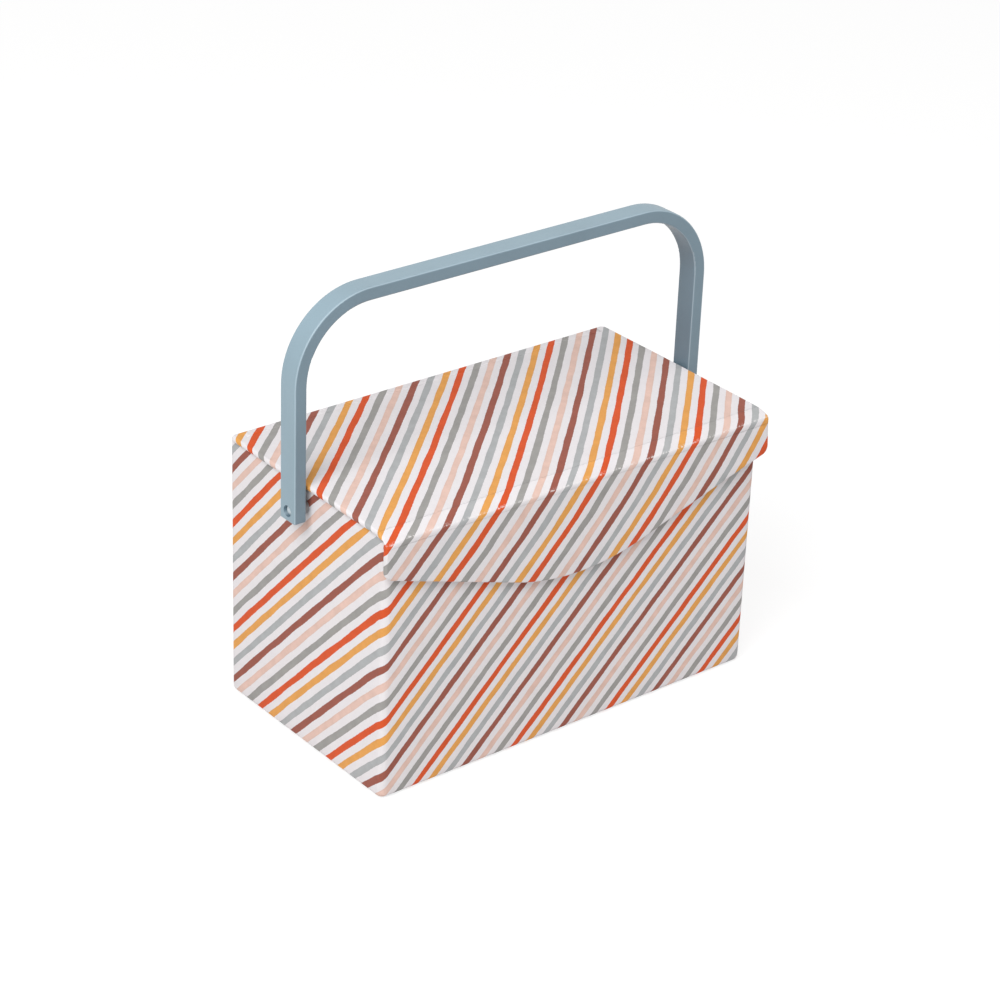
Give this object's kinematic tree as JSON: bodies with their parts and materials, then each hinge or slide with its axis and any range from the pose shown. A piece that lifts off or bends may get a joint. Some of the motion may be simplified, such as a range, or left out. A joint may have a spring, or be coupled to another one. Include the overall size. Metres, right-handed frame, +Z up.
{
  "type": "sewing box",
  "caption": "Cloth-covered sewing box with a swinging U-shaped handle, a hinged lid with a curved hanging flap, and a lift-out tray.",
  "frame": {"origin": "centre of the box's underside, under the middle of its four walls", "axes": "+X to the right as seen from the front, +Y to the back, +Z up; the flap hangs at the front, on the -Y side"},
  "size_m": [0.3256, 0.1695, 0.3071],
  "materials": {
    "printed_cloth": "matt printed cotton with slanting stripes",
    "plain_cloth": "matt plain cotton",
    "cushion_cloth": "matt plain cotton over stuffing",
    "base_sheet": "matt non-woven cloth",
    "fibreboard": "raw fibreboard",
    "flap_card": "raw grey board",
    "wadding": "soft fleece",
    "tray_plastic": "satin moulded",
    "painted_wood": "satin blue-grey paint",
    "screw_paint": "satin blue-grey paint",
    "steel": "plated",
    "spacer_plastic": "matt grey",
    "elastic": "woven elastic"
  },
  "bodies": {
    "box": {"base_board": "fibreboard", "front_board": "fibreboard", "back_board": "fibreboard", "left_end_board": "fibreboard", "right_end_board": "fibreboard", "outer_cover": "printed_cloth", "base_cover": "base_sheet", "wall_lining": "plain_cloth", "base_lining": "plain_cloth", "strike_discs": "steel", "left_tray_ledge": "fibreboard", "right_tray_ledge": "fibreboard", "lid_hinge_cloth": "printed_cloth", "pivot_screws": "screw_paint", "sleeve_nuts": "steel", "inner_washers": "steel", "leg_spacers": "spacer_plastic"},
    "tray": {"lift_out_tray": "tray_plastic"},
    "lid": {"lid_board": "fibreboard", "lid_wadding": "wadding", "lid_cover": "printed_cloth", "lid_lining": "plain_cloth", "pin_cushion": "cushion_cloth", "lid_pocket": "plain_cloth", "pocket_elastic": "elastic", "flap_hinge_cloth": "printed_cloth"},
    "flap": {"flap_board": "flap_card", "flap_cover": "printed_cloth", "flap_lining": "plain_cloth", "flap_magnets": "steel"},
    "handle": {"handle": "painted_wood"}
  },
  "joints": [
    {"name": "handle_swing", "type": "hinge", "parent": "box", "child": "handle", "pos_m": [0, 0, 0.17], "axis": [1, 0, 0], "range_deg": [-125, 125]},
    {"name": "lid_hinge", "type": "hinge", "parent": "box", "child": "lid", "pos_m": [0, 0.0805, 0.1848], "axis": [-1, 0, 0], "range_deg": [0, 40]},
    {"name": "flap_hinge", "type": "hinge", "parent": "lid", "child": "flap", "pos_m": [0, -0.0838, 0.181], "axis": [-1, 0, 0], "range_deg": [0, 160]},
    {"name": "tray_lift", "type": "slide", "parent": "box", "child": "tray", "axis": [0, 0, 1], "range_m": [0, 0.016]}
  ]
}
